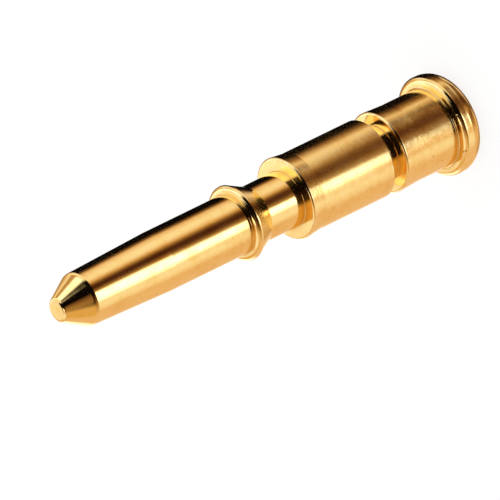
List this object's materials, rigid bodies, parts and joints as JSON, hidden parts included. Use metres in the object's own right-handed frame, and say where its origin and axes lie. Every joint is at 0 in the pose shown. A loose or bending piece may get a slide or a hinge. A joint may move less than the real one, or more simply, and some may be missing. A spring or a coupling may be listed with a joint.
{
  "type": "coaxial connector center pin",
  "caption": "Gold plated turned center pin for a coaxial cable plug: tapered mating tip, collar, grooved barrel and a round-edged rear flange with a wire cup.",
  "frame": {"origin": "centre of the rear face, on the pin's axis", "axes": "+Z along the pin's axis from the rear flange to the mating tip; X and Y are free, because the pin is a turned body"},
  "size_m": [0.0022, 0.0022, 0.011],
  "materials": {
    "gold_plate": "bright gold plate over turned brass"
  },
  "bodies": {
    "root": {"center_pin": "gold_plate"}
  },
  "joints": []
}
